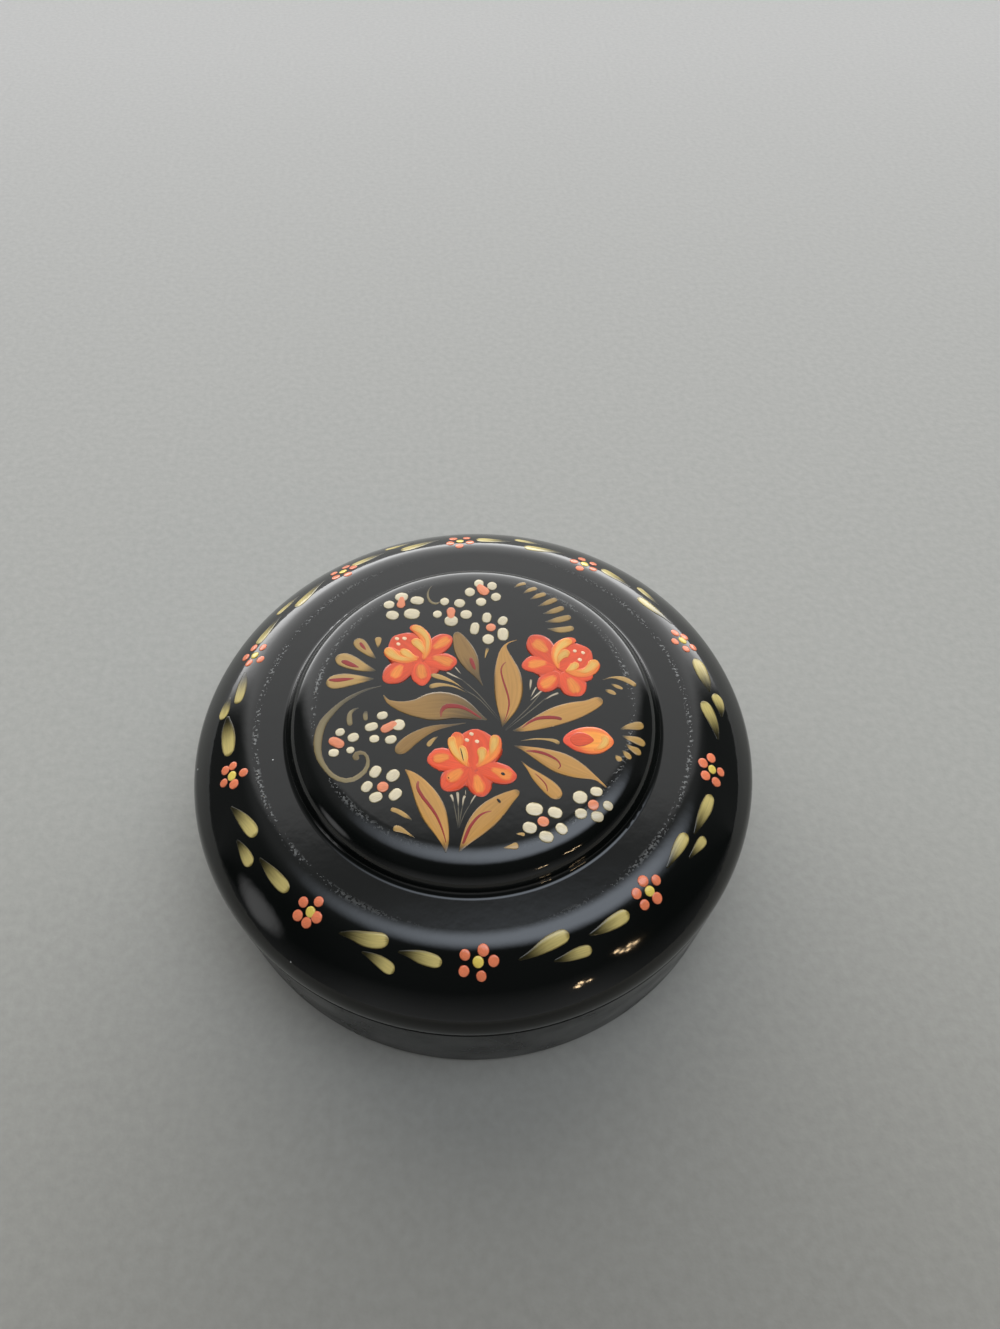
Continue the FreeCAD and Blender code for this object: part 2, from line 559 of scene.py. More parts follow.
shoulder_start = plateau_flat_radius + sum(run[0] for run in [*plateau_bends, ring_run])
shoulder_radius = outline_place(lid_black_runs, lid_start, shoulder_start)[0]
rubbed_radii = (plateau_flat_radius + plateau_rub_out, shoulder_radius)
lid_black = lacquer_material("lid_black_lacquer", black_color, lid_roughness, rubbed_radii=rubbed_radii)
lid_coat = spun_coat("lid_black_coat", lid_black_runs, lid_start, "lid", lid_black)

lid_cavity = collar_bore - lid_land_width
ring_height = lid_edge_height + skirt_height - outline_place(shoulder_bends, (0, 0), 1)[1]
ring_under = ring_height - lid_thickness
top_under = top_height - lid_thickness
foot_radius = plateau_flat_radius + outline_place(plateau_bends, (0, 0), 1)[0]
lid_hollow = foot_radius - foot_cove - lid_thickness
lid_red_runs = [
    bend_run(lid_edge_round, 180, 270),
    straight_run(seat_height - lid_edge_height - lid_edge_round, 270),
    straight_run(lid_bore - lid_cavity, 180),
    straight_run(ring_under - seat_height - lid_inner_round, 270),
    bend_run(lid_inner_round, 270, 180),
    straight_run(lid_cavity - lid_hollow - 2 * lid_inner_round, 180),
    bend_run(lid_inner_round, 180, 270),
    straight_run(top_under - ring_under - 2 * lid_inner_round, 270),
    bend_run(lid_inner_round, 270, 180),
    straight_run(lid_hollow - lid_inner_round, 180),
]
spun_coat("lid_red_coat", lid_red_runs, (lid_bore + lid_edge_round, lid_edge_height),
          "lid", red_lacquer)

for node in ["lid_ring", "lid_top"]:
    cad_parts[node].data.materials.clear()
    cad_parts[node].data.materials.append(lid_black)


# Leaves of the bouquet: gold-ochre oil paint, each one laid with a single stroke of a round brush that
# presses down from the stem and lifts at the tip, under the clear top coat. Strokes are lists of
# (pixel across, pixel down, width in pixels) in the photograph, from the stem to the tip.
lid_surface = BVHTree.FromPolygons([vertex.co for vertex in lid_coat.data.vertices],
                                   [face.vertices for face in lid_coat.data.polygons])
lid_outline_length = shoulder_start + sum(run[0] for run in shoulder_bends)
lid_middle_pixel = (478, 745)
edge_step_share = 0.004
outline_halvings = 22
centre_radius = 0.001 * mm
paint_bite = 0.02 * mm
paint_foot = 0.004 * mm
stroke_sides = 12
stroke_tip = 0.01 * mm
thin_stroke = 0.35 * mm
ahead_share = 0.02
level_limit = 0.001
flat_crown = 0.4
leaf_paint = 0.03 * mm


def outline_distance(radius):
    """Distance along the lid's outline, from its centre, at which it reaches a radius."""
    low = 0
    high = lid_outline_length
    for halving in range(outline_halvings):
        middle = (low + high) / 2
        if outline_place(lid_black_runs, lid_start, middle)[0] < radius:
            low = middle
        else:
            high = middle
    return low


def on_lid(across, down):
    """Place on the lid, rolled out flat from its centre, that a pixel of the photograph shows.

    A pixel just past the lid's edge is moved in towards the lid's middle until it meets the lid.
    """
    touch = None
    while touch is None:
        touch = lid_surface.ray_cast(camera.location, view_turn @ sight_line((across, down)))[0]
        across += (lid_middle_pixel[0] - across) * edge_step_share
        down += (lid_middle_pixel[1] - down) * edge_step_share
    radius = hypot(touch.x, touch.y)
    return Vector((touch.x, touch.y)) * (outline_distance(radius) / radius)


def over_lid(place, height):
    """Point at a height over the lacquer from its place on the rolled-out lid."""
    distance = max(place.length, centre_radius)
    radius, level, tilt = outline_place(lid_black_runs, lid_start, distance)
    rise = lacquer_thickness + height
    reach = (radius + sin(tilt) * rise) / distance
    return Vector((place.x * reach, place.y * reach, level + cos(tilt) * rise))


def stroke_marks(course):
    """Middles and half widths on the rolled-out lid of a stroke given in pixels."""
    marks = []
    for number, (across, down, width) in enumerate(course):
        before = course[max(0, number - 1)]
        after = course[min(number + 1, len(course) - 1)]
        run = Vector((after[0] - before[0], after[1] - before[1]))
        side = Vector((-run.y, run.x)).normalized() * width / 2
        one = on_lid(across + side.x, down + side.y)
        other = on_lid(across - side.x, down - side.y)
        marks.append(Vector(((one.x + other.x) / 2, (one.y + other.y) / 2, (one - other).length / 2)))
    return marks


def brush_line(marks):
    """Smooth line through marks, as a function of the share of its length, and its length."""
    lengths = [0]
    for here, after in zip(marks, marks[1:]):
        lengths.append(lengths[-1] + (after - here).xy.length)

    def line(share):
        reach = min(max(share, 0), 1) * lengths[-1]
        number = min(bisect_right(lengths, reach), len(marks) - 1) - 1
        step = (reach - lengths[number]) / (lengths[number + 1] - lengths[number])
        here = marks[number]
        after = marks[number + 1]
        before = marks[number - 1] if number > 0 else here * 2 - after
        beyond = marks[number + 2] if number + 2 < len(marks) else after * 2 - here
        return (here * 2 + (after - before) * step + (before * 2 - here * 5 + after * 4 - beyond) * step ** 2
                + (here * 3 - before - after * 3 + beyond) * step ** 3) / 2

    return line, lengths[-1]


def lay_stroke(shape, marks, thickness, lift, crown, rings):
    """One closed dab of paint: a ball drawn out along the marks and flattened on the lid."""
    line, length = brush_line(marks)
    stroke_map = shape.loops.layers.uv["stroke"]
    tone_layer = shape.verts.layers.float["tone"]
    tone = random.random()
    ball = bmesh.ops.create_uvsphere(shape, u_segments=stroke_sides, v_segments=rings, radius=1)["verts"]
    spots = {}
    for vertex in ball:
        share = (1 - vertex.co.z) / 2
        ring = sqrt(max(0, 1 - vertex.co.z ** 2))
        across = vertex.co.x / ring if ring > level_limit else 0
        rise = vertex.co.y / ring if ring > level_limit else 0
        middle = line(share)
        ahead = (line(share + ahead_share) - line(share - ahead_share)).xy.normalized()
        half = max(middle.z, stroke_tip)
        end = min(share, 1 - share) * length
        if end < half:
            half *= sqrt(max(0, 1 - (1 - end / half) ** 2))
        place = middle.xy + Vector((-ahead.y, ahead.x)) * across * half
        if rise > level_limit:
            height = lift + thickness * rise ** crown * min(1, half / thin_stroke) ** 0.5
        elif rise > -level_limit:
            height = lift - paint_foot
        else:
            height = -paint_bite
        vertex.co = over_lid(place, height)
        vertex[tone_layer] = tone
        spots[vertex] = (share, (across + 1) / 2)
    for face in {face for vertex in ball for face in vertex.link_faces}:
        face.smooth = True
        for loop in face.loops:
            loop[stroke_map].uv = spots[loop.vert]


def painted(name, strokes, slot, material, thickness, lift=0, crown=flat_crown, rings=16):
    """Strokes of one colour and kind as one piece that rides with the lid."""
    shape = bmesh.new()
    shape.loops.layers.uv.new("stroke")
    shape.verts.layers.float.new("tone")
    for marks in strokes:
        lay_stroke(shape, marks, thickness, lift, crown, rings)
    bmesh.ops.recalc_face_normals(shape, faces=shape.faces)
    mesh = bpy.data.meshes.new(name)
    shape.to_mesh(mesh)
    shape.free()
    mesh.materials.append(material)
    piece = bpy.data.objects.new(name, mesh)
    bpy.context.scene.collection.objects.link(piece)
    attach(piece, "lid")


def brushed(name, courses, slot, material, thickness, **form):
    """Strokes given in pixels, as one piece."""
    painted(name, [stroke_marks(course) for course in courses], slot, material, thickness, **form)


bristle_scale = (2.5, 11, 1)
bristle_shift = 40
ragged_share = 0.12
end_stretch = 1.6
tail_stretch = 1.5
edge_start = 0.02
streak_share = 0.5
tone_share = 0.16
dullest_share = 0.68
paint_roughness = 0.45
top_coat_roughness = 0.08


def paint_material(name, heart_color, edge_color, tail_color, edge_share, tail_share, tail_end_share=0):
    """Oil paint under lacquer: heart, thinner edge, a tail where the brush starts, and bristle streaks."""
    material, add, work, shader = shader_material(name)
    stroke = add("UVMap", {}, uv_map="stroke").outputs[0]
    stroke_axes = add("SeparateXYZ", {0: stroke}).outputs
    tone = add("Attribute", {}, attribute_name="tone").outputs["Fac"]
    shift = add("CombineXYZ", {"X": work("MULTIPLY", tone, bristle_shift)}).outputs[0]
    bristles = add("Mapping", {"Vector": stroke, "Location": shift, "Scale": bristle_scale}).outputs[0]
    streaks = add("TexNoise", {"Vector": bristles, "Scale": 1, "Detail": 3}).outputs["Fac"]
    ragged = work("MULTIPLY", work("SUBTRACT", streaks, 0.5), ragged_share)
    side = work("PINGPONG", stroke_axes["Y"], 0.5)
    end = work("MULTIPLY", work("PINGPONG", stroke_axes["X"], 0.5), end_stretch)
    inward = work("ADD", work("MINIMUM", side, end), ragged)
    paint = mixed(add, "MIX", fade(add, inward, edge_start, edge_share), edge_color, heart_color)
    along = work("ADD", stroke_axes["X"], work("MULTIPLY", ragged, tail_stretch))
    paint = mixed(add, "MIX", fade(add, along, tail_end_share, tail_share), tail_color, paint)
    tone_light = work("ADD", work("MULTIPLY", tone, tone_share), dullest_share)
    light = work("ADD", work("MULTIPLY", streaks, streak_share), tone_light)
    feed(shader, {
        "Base Color": mixed(add, "MULTIPLY", 1, paint, light),
        "Roughness": paint_roughness,
        "Specular IOR Level": 0,
        "Coat Weight": 1,
        "Coat Roughness": top_coat_roughness,
        "Coat Normal": polish(add, add("TexCoord", {}).outputs["Object"]),
    })
    return material


random.seed(3)
gold = (0.53, 0.27, 0.066)
gold_edge = (0.28, 0.15, 0.04)
gold_tail = (0.05, 0.035, 0.012)
leaf_gold = paint_material("leaf_gold", gold, gold_edge, gold_tail, 0.10, 0.16)
bouquet_leaves = [
    [(502, 727, 0.8), (504.5, 719, 9), (507, 708, 21), (508.5, 696, 28), (508.5, 684, 29), (507, 672, 26),
     (505, 661, 18), (504, 652, 10), (505, 646, 3), (509, 642.5, 1.2), (517, 640, 0.6)],
    [(513, 731, 1), (522, 729, 6), (533, 725, 12), (546, 720, 17), (560, 715, 19.5), (575, 710.5, 18),
     (588, 706.5, 13.5), (597, 702, 11), (602, 699, 8)],
    [(514, 746, 0.8), (524, 748.5, 5), (536, 753, 12), (548, 758, 18), (560, 763, 21.5), (572, 768, 19.5),
     (584, 773, 13), (592, 776.5, 6.5), (598, 780, 3), (606.5, 787.5, 1.5)],
    [(521, 761, 0.8), (528, 768, 3), (535, 775, 9), (543, 782, 13), (551, 789, 15), (557, 795, 13),
     (560, 798.5, 9)],
    [(446, 853, 0.8), (445, 843, 8), (441, 830, 17), (434.5, 815, 25.5), (427.5, 800, 25), (419, 785, 17),
     (412, 775.5, 8.5), (405, 769.5, 1)],
    [(459, 852, 1), (466, 841, 10), (475, 829, 20), (486, 817, 25), (497, 807, 22), (507, 799, 15),
     (515, 793.5, 9), (519, 791, 6)],
]
brushed("bouquet_leaves", bouquet_leaves, "ochre_paint", leaf_gold, leaf_paint, rings=26)

leaf_olive = paint_material("leaf_olive", (0.31, 0.17, 0.046), (0.2, 0.12, 0.035), (0.09, 0.06, 0.025),
                            0.12, 0.6)
shaded_leaves = [
    [(483, 686, 0.6), (477.5, 676.5, 5), (473, 668, 13), (468.5, 659, 19), (463.5, 649, 19), (459, 639, 13),
     (456, 632, 6)],
    [(487, 720, 1), (477, 716, 9), (466, 711, 18), (454, 707, 25), (441, 706, 29), (428, 707, 27),
     (415, 708, 18), (402, 706.5, 11), (390, 702.5, 5), (386, 699, 2.5), (383.5, 695, 1)],
    [(466, 723, 0.6), (450, 725.5, 2.5), (440, 727, 5), (430, 729.7, 7.5), (420, 734.5, 10.5),
     (410, 741, 13), (402, 748, 13), (396, 753, 9)],
]
brushed("shaded_leaves", shaded_leaves, "ochre_paint", leaf_olive, leaf_paint, rings=26)

small_gold = paint_material("small_gold", (0.47, 0.285, 0.09), (0.24, 0.15, 0.045), (0.05, 0.04, 0.018),
                            0.14, 0.35)
small_leaves = [
    [(438, 736.5, 0.6), (434, 739, 3), (430, 743, 5), (427.5, 746.5, 4)],
    [(465, 690, 0.5), (455, 683, 1.5), (447, 679.4, 3.5), (438, 676.5, 5.2), (430, 674.5, 3)],
    [(467, 693, 0.5), (455, 687, 1.5), (444, 684.8, 3), (436, 685.3, 5), (429, 687, 4)],
    [(488, 648, 4), (486.5, 652, 2.6), (485, 658, 0.6)],
    [(520, 741, 0.6), (535, 739, 1.5), (547, 739.5, 2.2), (555, 741, 4), (559.5, 744, 3.5)],
    [(412, 820, 1), (405, 815.5, 4.5), (397, 811, 5), (390.5, 809, 4.5)],
    [(415, 838, 0.6), (407, 833, 3), (400, 829.5, 6.5), (393, 828, 7)],
    [(503, 848, 0.8), (509, 847, 3.5), (515, 846, 7), (518.5, 845, 7)],
    [(516, 834, 1), (521, 834, 3), (525, 835, 4)],
    [(378, 648, 1), (378.3, 642, 6), (378, 637, 8)],
    [(374, 679, 1), (360, 679.5, 8), (345, 680.5, 14), (333, 682.5, 14), (326, 684, 9)],
    [(376, 671, 1), (365, 668, 8), (352, 663, 14), (342, 659, 14), (336, 656.5, 8)],
    [(376, 659, 1), (369, 653, 7), (361, 645, 12), (356, 639, 9)],
    [(602, 680, 0.6), (612, 677.5, 1.5), (622, 678.5, 4.5), (630, 682, 5), (636, 686, 4)],
    [(611, 684, 0.8), (617, 686.5, 3.5), (623, 689, 2)],
    [(605, 690, 1.5), (611, 692, 4.5), (616, 694.5, 2.5)],
    [(620, 729.5, 0.8), (628, 727, 5.5), (637, 726, 8.5), (643.5, 725, 7)],
    [(622, 736, 0.8), (630, 738.5, 5), (638, 741, 7.5), (645, 745, 6)],
    [(626, 744, 1), (631, 748, 4.5), (637, 751.5, 7), (640.5, 755, 4)],
    [(622.5, 750.5, 1), (627, 755, 5.5), (631, 759, 4)],
    [(615.5, 755, 1), (618.5, 758.5, 5.5), (621.5, 761, 4)],
]
brushed("small_leaves", small_leaves, "ochre_paint", small_gold, leaf_paint, rings=14)

scroll_gold = paint_material("scroll_gold", (0.235, 0.185, 0.09), (0.17, 0.12, 0.05), (0.06, 0.05, 0.03),
                             0.25, 0.45)
scrolls = [
    [(381.6, 686, 0.8), (366, 690, 2), (351, 697, 3.5), (340, 704.5, 4.5), (330.6, 713.5, 6),
     (323.5, 722, 7.5), (319.4, 731.8, 8.5), (317.6, 742, 8.5), (317.9, 752, 7.5), (319.8, 759, 6.5),
     (323.5, 765.5, 5.5), (328, 771.5, 5), (333.7, 776.7, 5), (340, 779.6, 5), (347, 780.8, 5),
     (355, 778.8, 5), (361, 774.7, 5), (366, 769.5, 4.5), (368, 763.5, 4), (367.5, 758, 3.5),
     (365, 754, 3.5), (361, 752.6, 4), (357, 753.5, 5), (355.5, 757, 7), (358, 760, 6)],
    [(358.7, 708, 0.8), (353.5, 710, 2.5), (350, 714, 4.5), (349.4, 720, 6), (350.3, 725.7, 5)],
    [(366, 711, 3), (365.3, 716, 5), (366, 720.6, 4)],
    [(432, 586, 0.8), (428.5, 591, 1.6), (428, 597, 2.2), (431, 602, 2.4), (436, 603.6, 2), (440, 602, 1)],
]
brushed("scrolls", scrolls, "ochre_paint", scroll_gold, leaf_paint, rings=40)

ferns = [
    [(514, 588, 0.6), (520, 584.5, 3), (526, 583.5, 3)],
    [(523, 593.5, 0.6), (530, 590, 4), (537, 588.2, 3.5)],
    [(530, 599.5, 0.6), (538, 596, 4.5), (546, 593.8, 4)],
    [(538, 606.5, 0.6), (548, 602.5, 5), (557, 599, 4.5)],
    [(543, 614, 0.6), (554, 611, 5.5), (564, 607.5, 5)],
    [(545, 622, 0.6), (558, 620, 6), (571, 616.8, 5.5)],
    [(547, 629, 0.6), (560, 630, 6), (574, 628, 5.5)],
]
fern_gold = paint_material("fern_gold", (0.40, 0.25, 0.08), (0.22, 0.14, 0.05), (0.06, 0.05, 0.03),
                           0.2, 0.5)
brushed("ferns", ferns, "ochre_paint", fern_gold, leaf_paint, rings=14)


# Veins and stems: a dry brush of red-brown pulled once along the larger leaves, and thin grey-olive
# stems that gather the flowers.
vein_paint = 0.014 * mm
vein_lift = 0.026 * mm
stem_paint = 0.012 * mm
vein_red = paint_material("vein_red", (0.30, 0.022, 0.018), (0.22, 0.03, 0.018), (0.34, 0.08, 0.045),
                          0.3, 0.2)
veins = [
    [(470.5, 657.5, 3), (472, 662, 4.5), (474, 667, 3.5), (475.5, 670, 1)],
    [(506, 662, 1), (502.5, 665.5, 1.6), (501, 671, 1.8), (503, 680, 2), (506, 689, 2.2), (508.5, 698, 2),
     (509, 706, 1.8), (506.5, 716, 1.2), (504, 722, 0.8)],
    [(441, 717, 1), (441.5, 711, 3.5), (446, 706.5, 5), (453, 706, 5), (461, 707, 4), (469, 710.5, 3),
     (477, 715.5, 2), (482, 719, 1)],
    [(522, 728, 1), (530, 722, 2.5), (538, 718.5, 3.5), (548, 717.5, 4), (557, 718, 3.5), (562, 719.5, 3)],
    [(526, 751, 1.5), (535, 751.5, 3), (544, 753.5, 3.2), (552, 757, 2.8), (558, 761, 2), (560.5, 766, 1.5),
     (558, 769, 1)],
    [(535, 773.5, 0.8), (541, 779, 1.2), (546, 785, 1.4), (547.5, 791.5, 1)],
    [(418.5, 781, 2.5), (417.5, 787, 3.5), (422, 796, 3.8), (429, 805, 3.6), (436, 815, 3), (441, 826, 2.2),
     (444, 835, 1.5), (446, 843, 1)],
    [(492, 811, 0.8), (484, 813, 2), (477, 818, 3), (470, 827, 3.5), (466, 836, 3.5), (463, 844, 2.5)],
    [(354, 678.6, 1), (345, 679.5, 3.6), (336, 680.2, 4), (328.6, 680, 2)],
    [(359, 667.5, 1), (352, 665, 4.5), (346, 662.5, 5), (341.5, 661, 3)],
    [(366, 650, 1), (362.5, 646, 3.5), (360, 642.5, 2.5)],
]
brushed("veins", veins, "red_paint", vein_red, vein_paint, lift=vein_lift, rings=20)

stem_olive = paint_material("stem_olive", (0.10, 0.085, 0.055), (0.05, 0.045, 0.03), (0.02, 0.018, 0.012),
                            0.3, 0.5)
stems = [
    [(505, 730, 0.6), (530, 706, 1.2), (543, 690, 1.4)],
    [(505, 731, 0.6), (528, 713, 1.2), (545, 699, 1.2)],
    [(502, 722, 0.6), (478, 694, 1.2), (461, 679, 1)],
    [(500, 722, 0.6), (480, 700, 1.2), (465, 690, 1)],
    [(458, 828, 0.8), (456, 815, 1.2), (453.5, 802, 1)],
    [(458, 828, 0.8), (458.5, 817, 1.6), (458.3, 806, 1.4)],
    [(459, 828, 0.8), (460.5, 817, 1.2), (462.5, 806, 1)],
    [(459, 828, 0.8), (464, 815, 1), (470, 804.5, 0.8)],
]
brushed("stems", stems, "ochre_paint", stem_olive, stem_paint, rings=14)

bract_cream = paint_material("bract_cream", (0.55, 0.46, 0.33), (0.30, 0.24, 0.15), (0.16, 0.13, 0.09),
                             0.3, 0.4)
bracts = [
    [(453.5, 802, 1.2), (452, 797, 2.6), (450.5, 794.5, 3)],
    [(458.3, 806, 1.2), (458, 798, 2.4), (457.4, 792, 3.4)],
    [(462.5, 806, 1), (463.5, 799, 2.2), (465, 795.5, 3)],
    [(465.6, 795, 0.8), (465.5, 790, 0.6)],
    [(470, 804.5, 0.8), (473, 799, 1.6), (476.5, 794, 1.6)],
    [(530, 690, 0.8), (530.6, 684, 2.4), (531, 679.5, 2.4)],
    [(531, 697, 0.7), (534, 691, 1.4), (536.5, 687, 1.4)],
    [(530.5, 700.5, 0.8), (538, 694, 1.6), (544, 689, 1.4)],
    [(545, 699.5, 0.8), (552, 695.5, 1.8), (558.5, 693, 2)],
    [(461, 674, 0.6), (458, 670.5, 1.1), (455, 667, 1.1)],
    [(461.5, 679.5, 0.6), (453, 675.5, 1.6), (446.5, 672.3, 1.9)],
]
brushed("bracts", bracts, "cream_paint", bract_cream, leaf_paint, rings=12)


# Flowers of the bouquet: coral petals round a full head, their hearts touched with orange while the
# paint is wet, cupped by yellow petals and finished with three pale dots. The bud is the same paint.
petal_paint = 0.035 * mm
petal_lift = 0.008 * mm
petal_foot_paint = 0.022 * mm
petal_foot_lift = 0.006 * mm
touch_paint = 0.012 * mm
heart_lift = 0.034 * mm
cup_paint = 0.02 * mm
cup_lift = 0.038 * mm
cup_light_lift = 0.056 * mm
pollen_paint = 0.03 * mm
pollen_lift = 0.04 * mm
soft_crown = 0.6
coral = (0.78, 0.085, 0.024)
coral_edge = (0.64, 0.075, 0.032)
orange = (0.84, 0.255, 0.04)
yellow = (0.80, 0.46, 0.11)
pale_yellow = (0.92, 0.66, 0.40)
petal_coral = paint_material("petal_coral", coral, coral_edge, coral, 0.16, 0.1)
heart_orange = paint_material("heart_orange", orange, coral, coral, 0.34, 0.15)
cup_orange = paint_material("cup_orange", (0.88, 0.25, 0.04), (0.85, 0.16, 0.035), (0.82, 0.12, 0.03),
                            0.3, 0.3)
cup_yellow = paint_material("cup_yellow", yellow, (0.88, 0.32, 0.05), (0.88, 0.28, 0.04), 0.36, 0.45)

flower_petals = [
    [(393, 637, 16), (399, 642, 34), (407, 649, 42), (416, 656, 38), (424, 662, 22)],
    [(424, 657, 14), (434, 649, 18), (442, 642.5, 18), (448, 639, 14), (452, 637, 8)],
    [(424, 660, 14), (436, 661, 16), (446, 662.5, 18), (453, 662.5, 14), (457, 663, 8)],
    [(421, 660, 14), (421, 669, 20), (421.5, 677, 21), (422, 682, 15), (422, 686, 8)],
    [(414, 661, 14), (404, 668, 20), (395, 674, 22), (388, 679, 16), (384, 682, 9)],
    [(590, 650, 18), (583, 654, 34), (574, 659, 42), (564, 664, 38), (556, 668, 22)],
    [(558, 666, 14), (548, 656, 20), (540, 647, 24), (534, 640, 19), (530, 636, 10)],
    [(556, 668, 14), (545, 666, 20), (535, 664.5, 19), (527, 666, 13), (522, 667.5, 8)],
    [(558, 672, 14), (551, 680, 20), (545, 685, 18), (540, 688, 13), (538, 689, 8)],
    [(563, 672, 14), (569, 681, 22), (575, 688, 25), (579, 693, 20), (581, 696, 11)],
    [(566, 668, 14), (578, 673, 18), (587, 675, 14), (592, 673, 8)],
    [(475, 729, 20), (475, 735, 38), (475, 745, 52), (475, 755, 57), (475, 765, 50), (475, 772, 30)],
    [(470, 766, 16), (455, 763, 20), (441, 759.5, 24), (433, 760, 19), (427, 761, 11)],
    [(470, 766, 16), (461, 773, 22), (453, 780, 25), (446, 786, 19), (442, 789, 11)],
    [(471, 766, 16), (475, 776, 22), (480, 786, 24), (482, 793, 20), (483, 797, 11)],
    [(474, 766, 16), (488, 770, 20), (500, 774, 21), (510, 776, 17), (517, 776, 9)],
]
brushed("flower_petals", flower_petals, "red_paint", petal_coral, petal_paint, lift=petal_lift, rings=16)

# Coral under the feet of the petals, where neighbours run together
flower_middles = [
    [(403, 666, 12), (411, 666.5, 20), (421, 665.5, 28), (432, 660, 27), (442, 655, 16)],
    [(536, 658, 14), (545, 665, 24), (556, 671, 33), (567, 677, 28), (578, 679, 16)],
    [(450, 768, 16), (461, 772, 26), (475, 774, 28), (488, 772, 26), (499, 768, 14)],
]
brushed("flower_middles", flower_middles, "red_paint", petal_coral, petal_foot_paint,
        lift=petal_foot_lift, rings=16)

petal_hearts = [
    [(451, 637.5, 8), (445, 641, 12), (439, 645, 10), (432, 649, 4)],
    [(454, 664.5, 9), (448, 662, 14), (440, 659, 10), (431, 657.5, 4)],
    [(425, 680, 7), (422, 674.5, 14), (421, 668, 12), (421, 663, 5)],
    [(391.5, 679, 7), (395.5, 674, 13), (399.5, 668.5, 10), (403, 664.5, 4)],
    [(532, 640.5, 10), (538, 644.5, 15), (543.5, 649, 10), (548, 653, 4)],
    [(526, 664, 7), (533, 664.5, 12), (540, 663.5, 10), (548, 663, 4)],
    [(539.5, 687, 7), (545, 684.5, 14), (551, 680, 12), (556, 675.5, 5)],
    [(577, 695, 8), (575, 689, 16), (571, 682, 11), (567.5, 677, 4)],
    [(431.5, 759, 7), (437.5, 758.5, 13), (444, 757.5, 11), (451, 757, 4)],
    [(446.5, 781.5, 9), (452, 777.5, 16), (458, 773, 12.5), (464, 769.5, 5)],
    [(480, 795, 8), (479, 787, 16), (477, 779, 10), (474.5, 774, 4)],
    [(514, 777.5, 8), (506, 775, 16), (498, 771.5, 10), (489.5, 768.5, 4)],
]
brushed("petal_hearts", petal_hearts, "red_paint", heart_orange, touch_paint,
        lift=heart_lift, crown=soft_crown, rings=12)

flower_cups = [
    [(410, 627, 6), (417, 629.5, 9), (424, 636, 11), (427, 645, 11), (426, 653, 8), (423, 660, 3)],
    [(385.5, 648.5, 9), (394, 655, 13), (404, 659, 10), (412, 659, 7), (419, 657, 3)],
    [(576, 640.5, 5), (567, 642, 9), (559, 648, 12), (556, 656, 11), (557, 664, 6), (559, 669, 2)],
    [(597, 661, 9), (592, 669, 12), (584, 673, 10), (575, 673, 8), (565, 670.5, 3)],
    [(456, 732, 9), (457, 739, 15), (456, 748, 14), (461, 758, 11), (469, 767, 3)],
    [(495, 735, 9), (496, 744, 12), (494, 752, 12), (488, 758, 11), (482, 763, 7), (476, 767, 3)],
]
brushed("flower_cups", flower_cups, "red_paint", cup_orange, cup_paint,
        lift=cup_lift, crown=soft_crown, rings=16)

cup_lights = [
    [(424, 659, 1), (427, 650, 4), (427.5, 640, 5), (423, 632.5, 7), (417, 628.5, 7), (411.5, 627.5, 5)],
    [(417, 660, 1), (407, 659.5, 4), (398, 658, 6), (391, 653.5, 9), (386, 648.5, 8)],
    [(558, 668, 1), (555.5, 657, 4), (558.5, 649, 6), (565, 643, 9), (572, 641, 5)],
    [(575, 671, 1), (584, 671.5, 5), (590, 668, 8), (594, 663.5, 10.5), (596, 660, 8)],
    [(467, 766, 1), (460, 758, 6), (455, 751, 8), (452, 743, 9), (452.5, 736.5, 7)],
    [(490, 757, 1), (493, 748, 8), (494.5, 741, 10), (494.5, 735, 8)],
    [(425, 655, 2), (422, 649, 6), (417, 643, 9), (412, 640, 6)],
    [(417, 658, 2), (411, 656.5, 6), (405.5, 653, 8), (401, 649.5, 5)],
    [(557.5, 664, 2), (560.5, 657, 7), (565.5, 653.5, 9), (570, 652.5, 5)],
    [(566, 671.5, 2), (572, 668, 7), (575, 665, 9), (575, 662, 5)],
    [(466, 765, 2), (464.5, 758, 8), (462.5, 751, 9), (461, 745.5, 6)],
    [(479, 765, 2), (482, 758, 7), (482, 752, 10), (481.5, 747, 7)],
]
brushed("cup_lights", cup_lights, "ochre_paint", cup_yellow, touch_paint,
        lift=cup_light_lift, crown=soft_crown, rings=16)

pale_dot = paint_material("dot_pale", pale_yellow, (0.85, 0.45, 0.25), pale_yellow, 0.25, 0.05)
pollen = [
    [(395, 638, 3.2), (399, 639.6, 3.6)],
    [(402.5, 637.6, 3.4), (406.5, 639.6, 3.6)],
    [(396.8, 643, 3), (400, 645.4, 3.4)],
    [(573, 650.4, 3.2), (576.5, 652, 3.4)],
    [(581.3, 651.8, 3), (584.6, 654, 3.4)],
    [(577.8, 659, 3.4), (581.8, 660.8, 3.4)],
    [(469.5, 733, 3.4), (473.5, 735.2, 3.6)],
    [(464.8, 739.2, 3.4), (469, 741.4, 3.8)],
    [(475, 740.6, 3.4), (479, 742.6, 3.8)],
]
brushed("pollen", pollen, "cream_paint", pale_dot, pollen_paint,
        lift=pollen_lift, crown=soft_crown, rings=8)

